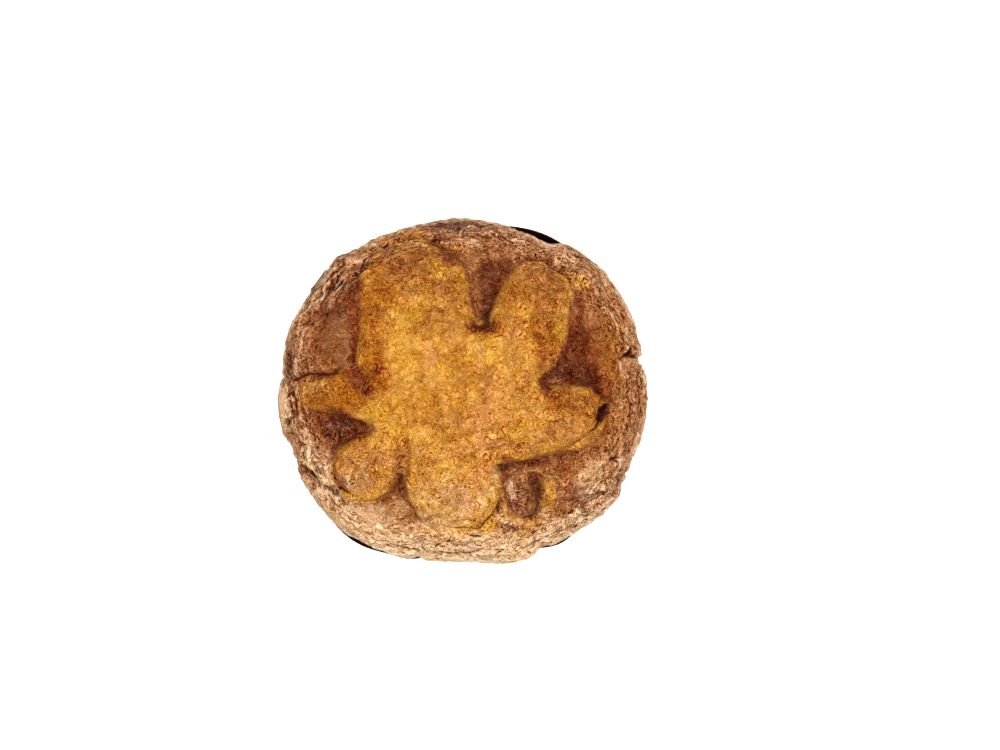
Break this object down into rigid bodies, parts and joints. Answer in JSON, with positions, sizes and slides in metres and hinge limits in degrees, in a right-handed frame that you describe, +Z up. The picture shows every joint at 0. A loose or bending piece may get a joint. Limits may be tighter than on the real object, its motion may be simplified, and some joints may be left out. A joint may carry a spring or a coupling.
{
  "type": "panettone",
  "caption": "Tall round panettone with a domed crust scored as a six-lobed star, in a plain brown paper baking case",
  "frame": {"origin": "middle of the flat foot of the paper case", "axes": "+Z up through the crown; +Y from the near side of the crown to the far side; +X to its right"},
  "size_m": [0.184, 0.1732, 0.1622],
  "materials": {
    "crust": "matte browned crust, golden where the scored star opened",
    "case_paper": "dark brown corrugated baking paper, matt outside"
  },
  "bodies": {
    "root": {"loaf": "crust", "paper_case": "case_paper"}
  },
  "joints": []
}
